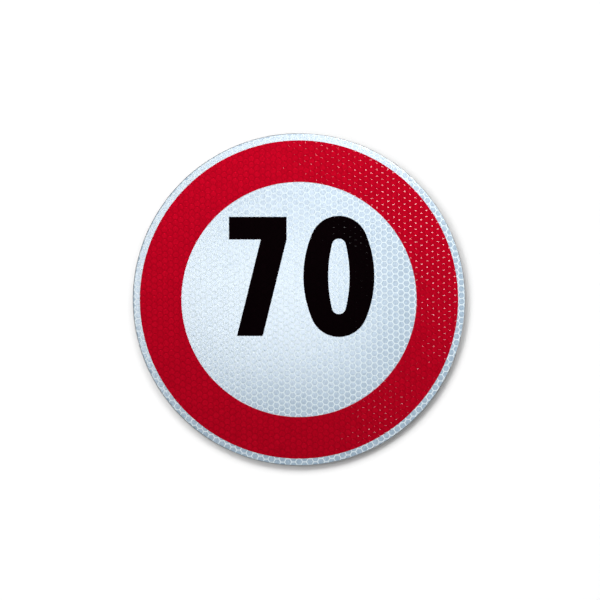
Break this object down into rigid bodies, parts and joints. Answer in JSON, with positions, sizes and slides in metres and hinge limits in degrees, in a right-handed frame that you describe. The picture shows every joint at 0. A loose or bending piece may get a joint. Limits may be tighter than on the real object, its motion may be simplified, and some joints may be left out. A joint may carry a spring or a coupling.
{
  "type": "vehicle speed limit plate",
  "caption": "Round flat plate with a white honeycomb reflective face, a red ring and black numerals, fixed to the rear of a vehicle to show its top speed.",
  "frame": {"origin": "centre of the plate's back face, which is the face that goes against the vehicle", "axes": "+Z out of the printed face, +Y towards the top of the numerals, +X to the right as they are read"},
  "size_m": [0.2, 0.2, 0.0014],
  "materials": {
    "bare_aluminium": "mill-finished aluminium sheet with a fine rolling grain",
    "white_reflective_film": "white retroreflective film with a honeycomb of sealed cells under a glossy skin",
    "red_layer": "transparent red over the honeycomb, glossy",
    "black_layer": "opaque black over the honeycomb, satin gloss"
  },
  "bodies": {
    "root": {"backing_plate": "bare_aluminium", "reflective_sheet": "white_reflective_film", "red_ring": "red_layer", "numeral_seven": "black_layer", "numeral_zero": "black_layer"}
  },
  "joints": []
}
